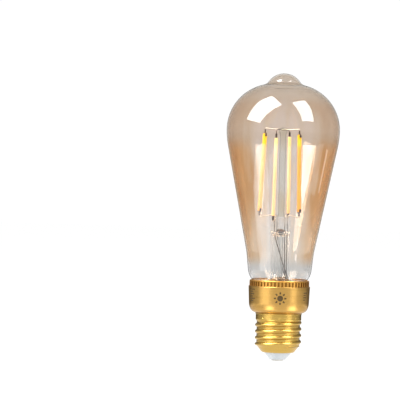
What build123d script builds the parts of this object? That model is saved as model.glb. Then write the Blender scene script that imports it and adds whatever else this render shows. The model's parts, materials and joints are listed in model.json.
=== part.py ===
from build123d import *
import os
from math import acos, atan2, cos, degrees, pi, radians, sin, sqrt

# Smart filament lamp: a pear-shaped amber glass envelope on a metal-look collar with an E27 screw cap.
# Frame: +Z up along the lamp's axis, origin at the middle of the centre contact's flat face, millimetres.
# The -Y side is the front, which carries the printed mark.

# --- Envelope (outer surface of the glass) ---
ENVELOPE_RADIUS = 32.0
GLASS_WALL = 0.8
WIDEST_Z = 130.5
TOP_Z = 162.6
PIP_RADIUS = 10.8
PIP_FILLET = 5.0
DOME_RADIUS = 26.1
BELLY_RADIUS = 47.5
CONE_ANGLE = 11.35
WAIST_Z = 62.3
WAIST_RADIUS = 20.0
NECK_ANGLE = 6.2
SHOULDER_Z = 51.6
SHOULDER_RADIUS = 12.0
SHOULDER_ANGLE = 45.0
SEAL_RADIUS = 3.0

# --- Stem: flare, tube, pinch, exhaust tube and rod ---
STEM_TUBE_RADIUS = 5.1
FLARE_RADIUS = 6.6
PINCH_BOTTOM_Z = 73.2
PINCH_TOP_Z = 81.5
PINCH_WIDTH = 11.0
PINCH_DEPTH = 4.4
EXHAUST_RADIUS = 1.6
EXHAUST_BORE = 1.0
EXHAUST_TIP_Z = 38.4
ROD_RADIUS = 2.0
ROD_BUTTON_RADIUS = 2.5
ROD_TOP_Z = 132.2

# --- Filaments ---
FILAMENT_RADIUS = 1.22
FILAMENT_LENGTH = 43.8
TAB_LENGTH = 2.5
TAB_WIDTH = 1.0
TAB_THICKNESS = 0.4
SUPPORT_WIRE_RADIUS = 0.24
LEAD_WIRE_RADIUS = 0.25
# Each filament: bearing round the stem, radius and height of its foot, and radius of its head.
FILAMENTS = {
    "warm_filament_left": (199.0, 13.1, 84.5, 10.9),
    "cool_filament_left": (245.0, 11.4, 81.9, 9.8),
    "warm_filament_right": (21.0, 11.0, 84.4, 10.1),
    "cool_filament_right": (65.0, 10.6, 83.3, 9.6),
}
WARM_BRIDGE_Z = 130.9
COOL_BRIDGE_Z = 130.3

# --- Knurled ring and collar ---
RING_BOTTOM_Z = 42.2
RING_TOP_Z = 45.6
RING_RADIUS = 16.9
RING_ROOT_RADIUS = 16.45
RING_BORE = 15.6
CEMENT_BORE = 13.4
CEMENT_BOTTOM_GAP = 0.4
CEMENT_TOP_GAP = 0.9
RING_RIM = 0.8
KNURL_COUNT = 52
SKIRT_RADIUS = 15.85
SKIRT_DEPTH = 2.2
COLLAR_RADIUS = 17.4
COLLAR_DRAFT = 2.5
COLLAR_WALL = 1.35
COLLAR_ROUND_Z = 32.7
COLLAR_ROUND_RADIUS = 8.5
COLLAR_ROUND_ANGLE = 27.0
COLLAR_LIP_RADIUS = 3.8
SPIGOT_RADIUS = 12.55
SPIGOT_WALL = 1.2
SPIGOT_BOTTOM_Z = 23.9
NEUTRAL_BEARING = 155.0
NEUTRAL_TOP_Z = 26.4

# --- E27 screw cap (IEC 60061: pitch 3.629 mm, knuckle radius 1.025 mm) ---
CAP_TOP_Z = 27.0
CAP_SHEET = 0.3
CAP_BAND_RADIUS = 12.9
CAP_BAND_Z = 23.5
CAP_RIM_RADIUS = 13.15
CAP_RIM_HEIGHT = 0.6
THREAD_PITCH = 3.629
KNUCKLE_RADIUS = 1.025
THREAD_MAJOR_RADIUS = 13.12
THREAD_MINOR_RADIUS = 12.024
ROOT_LAND = 0.2
THREAD_CREST_Z = 10.95
THREAD_BURIED = 0.6
THREAD_START_Z = 9.2
THREAD_END_Z = 22.7
THREAD_FADE_Z = 6.8
THREAD_FADE_RADIUS = 10.0
THREAD_HEADROOM = 0.28
INNER_THREAD_END_Z = 21.8
UNDER_BAND = 0.2
TAPER_ANGLE = 38.0
TAPER_TOP_Z = 9.3
TAPER_TOP_RADIUS = 1.6
TAPER_BOTTOM_Z = 5.3
CAP_STEP_RADIUS = 1.12
CAP_LIP_RADIUS = 1.5
CAP_LIP_ANGLE = 80.0
CAP_MOUTH_RADIUS = 7.75
INSULATOR_FLANGE_RADIUS = 10.0
INSULATOR_FACE_Z = 0.9
INSULATOR_FACE_RADIUS = 5.0
INSULATOR_TOP_Z = 7.5
CONTACT_RADIUS = 3.3
CONTACT_PIN_RADIUS = 1.1
CONTACT_PIN_Z = 8.2
DIMPLE_COUNT = 8
DIMPLE_RADIUS = 0.9
DIMPLE_DEPTH = 0.15
DIMPLE_Z = 24.5
DIMPLE_BEARING = -44.5

# --- Driver electronics ---
BOARD_FRONT_Y = 2.2
BOARD_THICKNESS = 1.2
BOARD_BACK_Y = BOARD_FRONT_Y + BOARD_THICKNESS
BOARD_SHOULDER_Z = 31.0
RAIL_X = (13.0, 16.2)
RAIL_Z = (30.6, 38.0)
RAIL_SIDE = 1.3
BOARD_WIDE = 28.6
BOARD_NARROW = 19.2
BOARD_BOTTOM_Z = 9.0
BOARD_TOP_Z = 39.5
TERMINAL_X = (3.1, 5.3, 7.5, 9.7)
TERMINAL_SIZE = (1.8, 2.6, 3.2)
TERMINAL_TOP_Z = 38.0
CAPACITOR_XY = (-4.4, -2.2)
CAPACITOR_RADIUS = 4.0
CAPACITOR_Z = (11.2, 22.0)
INDUCTOR_XY = (4.3, -1.8)
INDUCTOR_RADIUS = 3.2
INDUCTOR_POST_RADIUS = 1.5
INDUCTOR_FLANGE = 1.2
INDUCTOR_Z = (12.4, 19.4)
RESISTOR_XY = (8.0, -1.0)
RESISTOR_Z = (21.6, 29.0)
PIN_RADIUS = 0.3

CLEARANCE = 0.05


def normal(angle):
    return Vector(cos(radians(angle)), sin(radians(angle)))


def outline(start, angle, steps, inset=0.0):
    """A chain of tangent arcs and lines in (radius, height), from a start point and the angle of its outward normal.

    A step of two numbers is an arc: its radius, negative where it is hollow, and the normal's angle at its end.
    A single number is a straight run down to that height. The whole chain is moved inwards by inset."""
    edges = []
    point = Vector(*start)
    for step in steps:
        begin = point - normal(angle) * inset
        if isinstance(step, tuple):
            radius, end_angle = step
            centre = point - normal(angle) * radius
            middle = centre + normal((angle + end_angle) / 2) * (radius - inset)
            point = centre + normal(end_angle) * radius
            angle = end_angle
            edges.append(ThreePointArc(begin, middle, point - normal(angle) * inset))
        else:
            run = (step - point.Y) / -cos(radians(angle))
            point = point + Vector(sin(radians(angle)), -cos(radians(angle))) * run
            edges.append(Line(begin, point - normal(angle) * inset))
    return edges


def spun(edges):
    """The solid of revolution of a closed loop of edges drawn in (radius, height)."""
    return revolve(Plane.XZ * make_face(Curve() + edges), Axis.Z)


def closed(edges, *corners):
    """The edges, closed through the corners by straight lines."""
    return edges + [Polyline(edges[-1] @ 1, *corners, edges[0] @ 0)]


def ring(inner, outer, bottom, top):
    """A plain tube, or a disc where inner is 0."""
    disc = Circle(outer) - Circle(inner) if inner else Circle(outer)
    return extrude(Plane.XY.offset(bottom) * disc, top - bottom)


def block(x, y, z):
    """A box given by its low and high limits on each axis."""
    centre = [(low + high) / 2 for low, high in (x, y, z)]
    return Pos(*centre) * Box(*[high - low for low, high in (x, y, z)])


def outside_edges(shape, radius):
    """The shape's circular edges that are larger than radius."""
    return [edge for edge in shape.edges().filter_by(GeomType.CIRCLE) if edge.radius > radius]


def rod_between(start, end, radius):
    """A plain round bar from start to end."""
    axis = Vector(*end) - Vector(*start)
    return extrude(Plane(Vector(*start), z_dir=axis) * Circle(radius), axis.length)


def bent_wire(points, radius):
    """A round wire through the points, each corner rounded as widely as its two runs allow."""
    points = [Vector(*p) for p in points]
    radii = []
    for a, b, c in zip(points, points[1:], points[2:]):
        turn = radians((b - a).get_angle(c - b))
        radii.append(0.45 * min((b - a).length, (c - b).length) / sin(turn / 2) * cos(turn / 2))
    path = FilletPolyline(*points, radius=radii)
    return sweep(Plane(path @ 0, z_dir=path % 0) * Circle(radius), path=path)


# --- Glass ---

def envelope_steps():
    pip_centre = Vector(0, TOP_Z - PIP_RADIUS)
    dome_centre = Vector(ENVELOPE_RADIUS - DOME_RADIUS, WIDEST_Z)
    # The hollow fillet's centre is a fixed distance from the pip's centre and from the dome's.
    to_dome = dome_centre - pip_centre
    near, far, apart = PIP_RADIUS + PIP_FILLET, DOME_RADIUS + PIP_FILLET, to_dome.length
    along = (near**2 - far**2 + apart**2) / (2 * apart)
    across = sqrt(near**2 - along**2)
    unit = to_dome / apart
    fillet_centre = pip_centre + unit * along + Vector(-unit.Y, unit.X) * across
    pip_end = fillet_centre - pip_centre
    dome_start = fillet_centre - dome_centre
    return [
        (PIP_RADIUS, degrees(atan2(pip_end.Y, pip_end.X))),
        (-PIP_FILLET, degrees(atan2(dome_start.Y, dome_start.X))),
        (DOME_RADIUS, 0),
        (BELLY_RADIUS, -CONE_ANGLE),
        WAIST_Z,
        (-WAIST_RADIUS, -NECK_ANGLE),
        SHOULDER_Z,
        (SHOULDER_RADIUS, -SHOULDER_ANGLE),
        (SEAL_RADIUS, -90),
    ]


def envelope_outline(inset):
    return outline((0, TOP_Z), 90, envelope_steps(), inset)


def glass_envelope():
    outer, inner = envelope_outline(0), envelope_outline(GLASS_WALL)
    ends = [Line(outer[-1] @ 1, inner[-1] @ 1), Line(inner[0] @ 0, outer[0] @ 0)]
    return spun(outer + inner + ends)


def seal_point():
    """Where the envelope's turned-in lip ends, on its outer surface."""
    return envelope_outline(0)[-1] @ 1


def envelope_filled():
    end = seal_point()
    return spun(closed(envelope_outline(0), (0, end.Y)))


def stem_tube():
    """Flare, tube and pinch, which are one piece of glass."""
    lip = seal_point()
    half = GLASS_WALL / 2
    middle = STEM_TUBE_RADIUS - half
    flare_centre = Vector(middle + FLARE_RADIUS, lip.Y + half + FLARE_RADIUS)
    tight, wide = FLARE_RADIUS - half, FLARE_RADIUS + half
    gas_side = CenterArc(flare_centre, tight, 180, 90)
    air_side = CenterArc(flare_centre, wide, 180, 90)
    bend_z = PINCH_BOTTOM_Z - 3.0
    wall = [
        gas_side,
        air_side,
        Polyline(gas_side @ 1, (lip.X, lip.Y + GLASS_WALL), (lip.X, lip.Y), air_side @ 1),
        Polyline(gas_side @ 0, (STEM_TUBE_RADIUS, bend_z), (STEM_TUBE_RADIUS - GLASS_WALL, bend_z), air_side @ 0),
    ]
    pressed = Plane.XY.offset(PINCH_BOTTOM_Z + 1.5) * RectangleRounded(PINCH_WIDTH, PINCH_DEPTH, 1.6)
    shoulder = loft([Plane.XY.offset(bend_z) * Circle(STEM_TUBE_RADIUS), pressed])
    hollow_top = bend_z + 1.6
    hollow = loft([
        Plane.XY.offset(bend_z) * Circle(STEM_TUBE_RADIUS - GLASS_WALL),
        Plane.XY.offset(hollow_top) * Ellipse(4.2, 2.6),
    ])
    pinch = fillet(extrude(pressed, PINCH_TOP_Z - PINCH_BOTTOM_Z - 1.5).edges().group_by(Axis.Z)[-1], 0.8)
    pressed_glass = (shoulder - hollow) + pinch
    for wire in lead_wires().values():
        pressed_glass -= wire
    return pressed_glass + spun(wall)


def exhaust_tube():
    top = PINCH_BOTTOM_Z - 1.4
    tube = ring(0, EXHAUST_RADIUS, EXHAUST_TIP_Z + EXHAUST_RADIUS, top)
    tip = Pos(0, 0, EXHAUST_TIP_Z + EXHAUST_RADIUS) * Sphere(EXHAUST_RADIUS)
    bore = ring(0, EXHAUST_BORE, EXHAUST_TIP_Z + EXHAUST_RADIUS, top - 1.0)
    return tube + tip - bore


def glass_rod():
    """The post that stands on the pinch, with the button that grips the bridge wires."""
    button_z = ROD_TOP_Z - ROD_BUTTON_RADIUS
    rod = ring(0, ROD_RADIUS, PINCH_TOP_Z, button_z) + Pos(0, 0, button_z) * Sphere(ROD_BUTTON_RADIUS)
    return rod - bridge_wire("warm") - bridge_wire("cool")


# --- Filaments and their wires ---

def filament_ends(name):
    bearing, foot_radius, foot_z, head_radius = FILAMENTS[name]
    out = Vector(cos(radians(bearing)), sin(radians(bearing)), 0)
    rise = sqrt(FILAMENT_LENGTH**2 - (foot_radius - head_radius) ** 2)
    foot = out * foot_radius + Vector(0, 0, foot_z)
    return foot, out * head_radius + Vector(0, 0, foot_z + rise)


def filament_strip(name):
    foot, head = filament_ends(name)
    bar = rod_between(foot, head, FILAMENT_RADIUS)
    return fillet(bar.edges().filter_by(GeomType.CIRCLE), 0.5)


def tab_plane(name, at_head):
    """The plane on a filament's end, with its normal pointing away from the filament."""
    foot, head = filament_ends(name)
    along = (head - foot).normalized()
    out = Vector(foot.X, foot.Y, 0)
    side = along.cross(out)
    return Plane(head, x_dir=side, z_dir=along) if at_head else Plane(foot, x_dir=side, z_dir=-along)


def filament_tabs():
    return [
        extrude(tab_plane(name, at_head) * Rectangle(TAB_WIDTH, TAB_THICKNESS), TAB_LENGTH)
        for name in FILAMENTS
        for at_head in (False, True)
    ]


def tab_tip(name, at_head):
    plane = tab_plane(name, at_head)
    return plane.origin + plane.z_dir * TAB_LENGTH


def bridge_wire(pair):
    """Joins the heads of two like filaments through the rod's button."""
    level = WARM_BRIDGE_Z if pair == "warm" else COOL_BRIDGE_Z
    left, right = (tab_tip(f"{pair}_filament_{side}", True) for side in ("left", "right"))
    drop = {"warm": 0.0, "cool": 0.6}[pair]
    ends = []
    for tip in (left, right):
        corner = Vector(tip.X, tip.Y, max(level, tip.Z + 0.6))
        ends.append([tip, corner, Vector(tip.X * 0.45, tip.Y * 0.45, level + drop)])
    middle = Vector(0, 0, level)
    inner = [ends[0][2] * 0.3 + middle * 0.7, ends[1][2] * 0.3 + middle * 0.7]
    return bent_wire([*ends[0], inner[0], inner[1], *reversed(ends[1])], SUPPORT_WIRE_RADIUS)


def lead_wires():
    """Each lead runs from a filament's foot through the pinch and down the stem to its terminal on the board."""
    routes = {
        "warm_filament_left": (-3.6, [(-3.0, -2.4, 69.5), (2.9, -2.6, 50.5), (5.2, -1.2, 44.5)], 1),
        "cool_filament_left": (-2.2, [(-1.9, 0.0, 70.8), (-1.2, 2.9, 66.0), (2.2, 2.8, 50.6), (3.6, 2.6, 46.6)], 2),
        "warm_filament_right": (3.6, [(3.7, -0.3, 66.0), (3.6, -0.5, 50.2), (4.6, -0.4, 46.2)], 3),
        "cool_filament_right": (2.2, [(2.5, 1.2, 66.0), (2.9, 1.6, 50.5), (3.6, 1.9, 44.5)], 0),
    }
    wires = {}
    for name, (pinch_x, lower, terminal) in routes.items():
        tip = tab_tip(name, False)
        side = 0.6 if tip.Y > 0 else -0.6
        end_x = TERMINAL_X[terminal]
        end_y = BOARD_FRONT_Y - TERMINAL_SIZE[1] / 2
        points = [
            tip,
            Vector(tip.X * 0.97, tip.Y * 0.97, tip.Z - 0.9),
            Vector(pinch_x * 1.15, side * 2, PINCH_TOP_Z + 1.3),
            Vector(pinch_x, side, PINCH_TOP_Z - 1.2),
            Vector(pinch_x, 0.3 * side, PINCH_BOTTOM_Z + 1.5),
            *lower,
            Vector(end_x, end_y, 41.0),
            Vector(end_x, end_y, TERMINAL_TOP_Z),
        ]
        wires[name.replace("filament", "lead")] = bent_wire(points, LEAD_WIRE_RADIUS)
    return wires


# --- Ring and collar ---

def capping_cement():
    """Adhesive between the glass neck and the bore of the ring."""
    bottom, top = RING_BOTTOM_Z + CEMENT_BOTTOM_GAP, RING_TOP_Z - CEMENT_TOP_GAP
    return ring(CEMENT_BORE, RING_BORE - CLEARANCE, bottom, top) - envelope_filled()


def knurled_ring():
    land = 2 * pi * RING_RADIUS / KNURL_COUNT * 0.5
    height = RING_RADIUS - RING_ROOT_RADIUS + 0.4
    teeth = PolarLocations(RING_RADIUS - height / 2, KNURL_COUNT) * Rectangle(height, land)
    toothed = (Circle(RING_ROOT_RADIUS) + teeth) & Circle(RING_RADIUS)
    knurls = extrude(Plane.XY.offset(RING_BOTTOM_Z) * toothed, RING_TOP_Z - RING_RIM - RING_BOTTOM_Z)
    rim = ring(0, RING_RADIUS - 0.05, RING_TOP_Z - RING_RIM, RING_TOP_Z)
    rim = chamfer(rim.edges().group_by(Axis.Z)[-1], 0.4)
    skirt = ring(0, SKIRT_RADIUS, RING_BOTTOM_Z - SKIRT_DEPTH, RING_BOTTOM_Z)
    bore = ring(0, RING_BORE, RING_BOTTOM_Z - SKIRT_DEPTH, RING_TOP_Z)
    return knurls + rim + skirt - bore


def collar_outline(inset, top):
    steps = [
        COLLAR_ROUND_Z,
        (COLLAR_ROUND_RADIUS, -COLLAR_ROUND_ANGLE),
        (COLLAR_LIP_RADIUS, -90),
    ]
    return outline((COLLAR_RADIUS, top), -COLLAR_DRAFT, steps, inset)


def collar_shell():
    outer = collar_outline(0, RING_BOTTOM_Z)
    inner = collar_outline(COLLAR_WALL, RING_BOTTOM_Z)
    # Each outline's last point lies over the spigot, and is joined to the axis to close it.
    body = spun(closed(outer, (0, (outer[-1] @ 1).Y), (0, RING_BOTTOM_Z)))
    hollow = spun(closed(inner, (0, (inner[-1] @ 1).Y), (0, RING_BOTTOM_Z + 1)))
    floor_z = (inner[-1] @ 1).Y
    spigot = ring(0, SPIGOT_RADIUS, SPIGOT_BOTTOM_Z, floor_z)
    bore = ring(0, SPIGOT_RADIUS - SPIGOT_WALL, SPIGOT_BOTTOM_Z, floor_z + 0.1)
    rim = chamfer(body.edges().group_by(Axis.Z)[-1], 0.25)
    shell = rim + spigot - hollow - bore
    for side in (-1, 1):
        rail = block(RAIL_X, (BOARD_FRONT_Y - RAIL_SIDE, BOARD_BACK_Y + RAIL_SIDE), RAIL_Z)
        slot = block(
            (RAIL_X[0], BOARD_WIDE / 2 + CLEARANCE),
            (BOARD_FRONT_Y - CLEARANCE, BOARD_BACK_Y + CLEARANCE),
            RAIL_Z,
        )
        guide = rail - slot
        if side < 0:
            guide = mirror(guide, Plane.YZ)
        shell += guide & hollow
    groove = neutral_groove()
    return shell - groove


def neutral_bearing():
    return normal(NEUTRAL_BEARING)


def neutral_groove():
    """A slot up the outside of the spigot, which holds the bare end of the neutral wire against the shell."""
    centre = neutral_bearing() * (SPIGOT_RADIUS - 0.25)
    slot = Box(0.7, 0.7, NEUTRAL_TOP_Z - SPIGOT_BOTTOM_Z)
    return Pos(centre.X, centre.Y, (SPIGOT_BOTTOM_Z + NEUTRAL_TOP_Z) / 2) * Rot(0, 0, NEUTRAL_BEARING) * slot


# --- Screw cap ---

def cap_core(inset):
    """The cap's filled shape without its thread, moved inwards by inset."""
    root = THREAD_MINOR_RADIUS + ROOT_LAND
    # Two equal arcs, one full and one hollow, step the band down to the thread's root.
    step_angle = degrees(acos(1 - (CAP_BAND_RADIUS - root) / (2 * CAP_STEP_RADIUS)))
    steps = [
        CAP_BAND_Z,
        (CAP_STEP_RADIUS, -step_angle),
        (-CAP_STEP_RADIUS, 0),
        TAPER_TOP_Z,
        (TAPER_TOP_RADIUS, -TAPER_ANGLE),
        TAPER_BOTTOM_Z,
        (CAP_LIP_RADIUS, -CAP_LIP_ANGLE),
    ]
    edges = outline((CAP_BAND_RADIUS, CAP_TOP_Z), 0, steps, inset)
    return spun(closed(edges, (0, (edges[-1] @ 1).Y), (0, CAP_TOP_Z)))


def thread_profile(inset):
    """One rolled knuckle in (radius, distance along the axis): a crest arc and part of the hollow on each side."""
    crest = Vector(THREAD_MAJOR_RADIUS - KNUCKLE_RADIUS, 0)
    hollow = Vector(THREAD_MINOR_RADIUS + KNUCKLE_RADIUS, THREAD_PITCH / 2)
    crest_radius, hollow_radius = KNUCKLE_RADIUS - inset, KNUCKLE_RADIUS + inset
    tilt = degrees(atan2(hollow.Y - crest.Y, hollow.X - crest.X))
    join = crest + normal(tilt) * crest_radius
    foot_radius = THREAD_MINOR_RADIUS + ROOT_LAND / 2 - inset
    foot_angle = 180 + degrees(acos((hollow.X - foot_radius) / hollow_radius))
    middle = hollow + normal((foot_angle + tilt + 180) / 2) * hollow_radius
    foot = hollow + normal(foot_angle) * hollow_radius
    buried = foot - Vector(THREAD_BURIED, 0)

    def below(point):
        return Vector(point.X, -point.Y)

    return make_face(
        Curve()
        + [
            ThreePointArc(below(join), crest + Vector(crest_radius, 0), join),
            ThreePointArc(join, middle, foot),
            Polyline(foot, buried, below(buried), below(foot)),
            ThreePointArc(below(foot), below(middle), below(join)),
        ]
    )


def thread_ridge(inset, top_z):
    """The thread as one helical ridge up to top_z, faded out at the taper below it and the band above it."""
    start_z = THREAD_CREST_Z - 1.5 * THREAD_PITCH
    path = Helix(THREAD_PITCH, CAP_BAND_Z - start_z, THREAD_MAJOR_RADIUS - KNUCKLE_RADIUS)
    ridge = sweep(Plane.XZ * thread_profile(inset), path=path, is_frenet=True)
    widest, under_band = THREAD_MAJOR_RADIUS + THREAD_HEADROOM - inset, CAP_BAND_RADIUS - UNDER_BAND - inset
    limits = spun([
        Polyline(
            (0, THREAD_FADE_Z),
            (THREAD_FADE_RADIUS - inset, THREAD_FADE_Z),
            (widest, THREAD_START_Z),
            (widest, THREAD_END_Z),
            (under_band, CAP_BAND_Z),
            (under_band, CAP_TOP_Z),
            (0, CAP_TOP_Z),
            (0, THREAD_FADE_Z),
        )
    ])
    return (Pos(0, 0, start_z) * Rot(0, 0, 180) * ridge) & limits & ring(0, widest, 0, top_z)


def cap_bottom_z():
    return cap_core(0).bounding_box().min.Z


def cap_shell():
    outer = cap_core(0) + thread_ridge(0, CAP_BAND_Z + 1)
    inner = cap_core(CAP_SHEET) + thread_ridge(CAP_SHEET, INNER_THREAD_END_Z)
    rim = ring(CAP_BAND_RADIUS - CAP_SHEET, CAP_RIM_RADIUS, CAP_TOP_Z - CAP_RIM_HEIGHT, CAP_TOP_Z)
    rim = fillet(outside_edges(rim, CAP_BAND_RADIUS), 0.2)
    mouth = ring(0, CAP_MOUTH_RADIUS, 0, TAPER_BOTTOM_Z)
    open_top = ring(0, CAP_BAND_RADIUS - CAP_SHEET, CAP_TOP_Z - 1, CAP_TOP_Z + 1)
    shell = outer + rim - inner - mouth - open_top
    dimple_at = CAP_BAND_RADIUS + DIMPLE_RADIUS - DIMPLE_DEPTH
    for spot in PolarLocations(dimple_at, DIMPLE_COUNT, start_angle=DIMPLE_BEARING):
        shell -= Pos(0, 0, DIMPLE_Z) * spot * Sphere(DIMPLE_RADIUS)
    return shell


def cap_insulator():
    """A cone that stands out of the cap's mouth, with a flange behind it that fits the inside of the shell."""
    face, mouth, bottom = INSULATOR_FACE_RADIUS, CAP_MOUTH_RADIUS - CLEARANCE, cap_bottom_z()
    cone = [
        Polyline(
            (0, INSULATOR_FACE_Z),
            (face - 0.4, INSULATOR_FACE_Z),
            (face, INSULATOR_FACE_Z + 0.4),
            (mouth, bottom - 0.1),
            (mouth, INSULATOR_TOP_Z),
            (0, INSULATOR_TOP_Z),
            (0, INSULATOR_FACE_Z),
        )
    ]
    band = ring(0, INSULATOR_FLANGE_RADIUS, bottom, INSULATOR_TOP_Z)
    flange = cap_core(CAP_SHEET + CLEARANCE) & band
    pin_hole = ring(0, CONTACT_PIN_RADIUS, 0, INSULATOR_TOP_Z)
    return spun(cone) + flange - pin_hole


def centre_contact():
    head = ring(0, CONTACT_RADIUS, 0, INSULATOR_FACE_Z)
    head = fillet(head.edges().group_by(Axis.Z)[0], 0.6)
    return head + ring(0, CONTACT_PIN_RADIUS, INSULATOR_FACE_Z, CONTACT_PIN_Z)


# --- Driver electronics ---

def driver_board():
    wide = block(
        (-BOARD_WIDE / 2, BOARD_WIDE / 2), (BOARD_FRONT_Y, BOARD_BACK_Y), (BOARD_SHOULDER_Z, BOARD_TOP_Z)
    )
    narrow = block(
        (-BOARD_NARROW / 2, BOARD_NARROW / 2), (BOARD_FRONT_Y, BOARD_BACK_Y), (BOARD_BOTTOM_Z, BOARD_SHOULDER_Z)
    )
    return wide + narrow


def lead_terminals():
    width, depth, height = TERMINAL_SIZE
    return [
        block(
            (x - width / 2, x + width / 2),
            (BOARD_FRONT_Y - depth, BOARD_FRONT_Y),
            (TERMINAL_TOP_Z - height, TERMINAL_TOP_Z),
        )
        for x in TERMINAL_X
    ]


def on_back(x, z, depth, stand_off=0.0):
    """A box on the board's back face, given by its limits in x and z and its depth."""
    return block(x, (BOARD_BACK_Y + stand_off, BOARD_BACK_Y + stand_off + depth), z)


def radio_module():
    return on_back((-8.0, 8.0), (31.5, 41.6), 0.8)


def radio_shield():
    can = on_back((-5.6, 5.6), (32.2, 38.6), 1.8, 0.8)
    return fillet(can.edges().filter_by(Axis.Y), 0.6)


def antenna_trace():
    """A flat meander of copper along the radio module's top edge."""
    low, high, pitch, count = 39.4, 41.1, 1.5, 9
    points = []
    for i in range(count):
        x = -6.0 + i * pitch
        points += [(x, low), (x, high)] if i % 2 == 0 else [(x, high), (x, low)]
    centre_line = Polyline(*points)
    strip = trace(centre_line, 0.45)
    return extrude(Plane.XZ.offset(-(BOARD_BACK_Y + 0.8)) * strip, -0.05)


def board_pins(x, y, z, spacing):
    """Two wire legs that leave a part's lower end downwards and bend back into the board."""
    return [
        bent_wire([(x + side, y, z), (x + side, y, z - 1.3), (x + side, BOARD_FRONT_Y, z - 1.3)], PIN_RADIUS)
        for side in (-spacing / 2, spacing / 2)
    ]


def bulk_capacitor():
    x, y = CAPACITOR_XY
    can = fillet(ring(0, CAPACITOR_RADIUS, *CAPACITOR_Z).edges(), 0.45)
    return Pos(x, y, 0) * can + board_pins(x, y, CAPACITOR_Z[0], 3.5)


def inductor_core():
    x, y = INDUCTOR_XY
    low, high = INDUCTOR_Z
    flanges = ring(0, INDUCTOR_RADIUS, low, low + INDUCTOR_FLANGE)
    flanges += ring(0, INDUCTOR_RADIUS, high - INDUCTOR_FLANGE, high)
    drum = flanges + ring(0, INDUCTOR_POST_RADIUS, low, high)
    return Pos(x, y, 0) * drum + board_pins(x, y, low, 4.0)


def inductor_winding():
    low, high = INDUCTOR_Z
    outer = INDUCTOR_RADIUS - 0.3
    turns = ring(INDUCTOR_POST_RADIUS, outer, low + INDUCTOR_FLANGE, high - INDUCTOR_FLANGE)
    return Pos(*INDUCTOR_XY, 0) * fillet(outside_edges(turns, INDUCTOR_POST_RADIUS + 0.5), 0.25)


def film_capacitor():
    body = block((-6.4, 3.4), (-3.2, BOARD_FRONT_Y), (22.4, 30.4))
    return fillet(body.edges(), 0.4)


def bridge_rectifier():
    return chamfer(on_back((-3.3, 3.3), (14.0, 19.0), 2.4).faces().sort_by(Axis.Y)[-1].edges(), 0.3)


def driver_chips():
    return [on_back((x - 2.45, x + 2.45), (24.0, 27.9), 1.5) for x in (-4.4, 4.4)]


def chip_resistors():
    places = [(-7.4, 11.5), (-4.4, 11.5), (4.4, 11.5), (7.4, 11.5), (-7.4, 21.6), (0.0, 21.6), (7.4, 21.6)]
    return [on_back((x - 0.8, x + 0.8), (z - 0.4, z + 0.4), 0.45) for x, z in places]


def fusible_resistor():
    x, y = RESISTOR_XY
    low, high = RESISTOR_Z
    body = fillet(ring(0, 1.4, low, high).edges(), 0.5) + ring(0, 0.35, low - 1.2, low)
    leg = bent_wire([(x, y, high), (x, y, high + 1.2), (x, BOARD_FRONT_Y, high + 1.2)], 0.35)
    return Pos(x, y, 0) * body + leg


def live_wire():
    """From the centre contact's pin round the inductor to the fusible resistor."""
    x, y = RESISTOR_XY
    points = [
        (0, 0, CONTACT_PIN_Z),
        (0, 0, 9.9),
        (1.6, -5.4, 10.3),
        (6.6, -7.2, 13.8),
        (8.6, -5.6, 18.0),
        (x, y, 19.2),
        (x, y, RESISTOR_Z[0] - 1.2),
    ]
    return bent_wire(points, 0.5)


def neutral_wire():
    """From the back of the board under the spigot and up its groove, where the shell clamps it."""
    out = neutral_bearing()
    groove_radius = SPIGOT_RADIUS - 0.28
    points = [
        (-8.0, BOARD_BACK_Y, 19.5),
        (-8.0, BOARD_BACK_Y + 1.4, 19.6),
        (out.X * 10.2, out.Y * 10.2, 22.4),
        (out.X * groove_radius, out.Y * groove_radius, 23.4),
        (out.X * groove_radius, out.Y * groove_radius, NEUTRAL_TOP_Z - 0.2),
    ]
    return bent_wire(points, 0.25)


def save(name, shape):
    """Writes one node's STEP file; a list of separate solids becomes one compound."""
    if isinstance(shape, list):
        shape = Compound(children=shape)
    export_step(shape, f"parts/{name}.step")
    print(name, round(shape.volume, 1), flush=True)


PARTS = {
    "glass_envelope": glass_envelope,
    "stem_tube": stem_tube,
    "exhaust_tube": exhaust_tube,
    "glass_rod": glass_rod,
    "filament_tabs": filament_tabs,
    "warm_bridge_wire": lambda: bridge_wire("warm"),
    "cool_bridge_wire": lambda: bridge_wire("cool"),
    "capping_cement": capping_cement,
    "knurled_ring": knurled_ring,
    "collar_shell": collar_shell,
    "cap_shell": cap_shell,
    "cap_insulator": cap_insulator,
    "centre_contact": centre_contact,
    "driver_board": driver_board,
    "lead_terminals": lead_terminals,
    "radio_module": radio_module,
    "radio_shield": radio_shield,
    "antenna_trace": antenna_trace,
    "bulk_capacitor": bulk_capacitor,
    "inductor_core": inductor_core,
    "inductor_winding": inductor_winding,
    "film_capacitor": film_capacitor,
    "bridge_rectifier": bridge_rectifier,
    "driver_chips": driver_chips,
    "chip_resistors": chip_resistors,
    "fusible_resistor": fusible_resistor,
    "live_wire": live_wire,
    "neutral_wire": neutral_wire,
}


def main():
    os.makedirs("parts", exist_ok=True)
    makers = PARTS | {name: lambda name=name: filament_strip(name) for name in FILAMENTS}
    for name, make in makers.items():
        save(name, make())
    for name, wire in lead_wires().items():
        save(name, wire)


main()
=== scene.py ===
import json
from math import atan2, cos, degrees, pi, radians, sin, sqrt, tan

import bmesh
import bpy
from mathutils import Matrix, Vector


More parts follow.
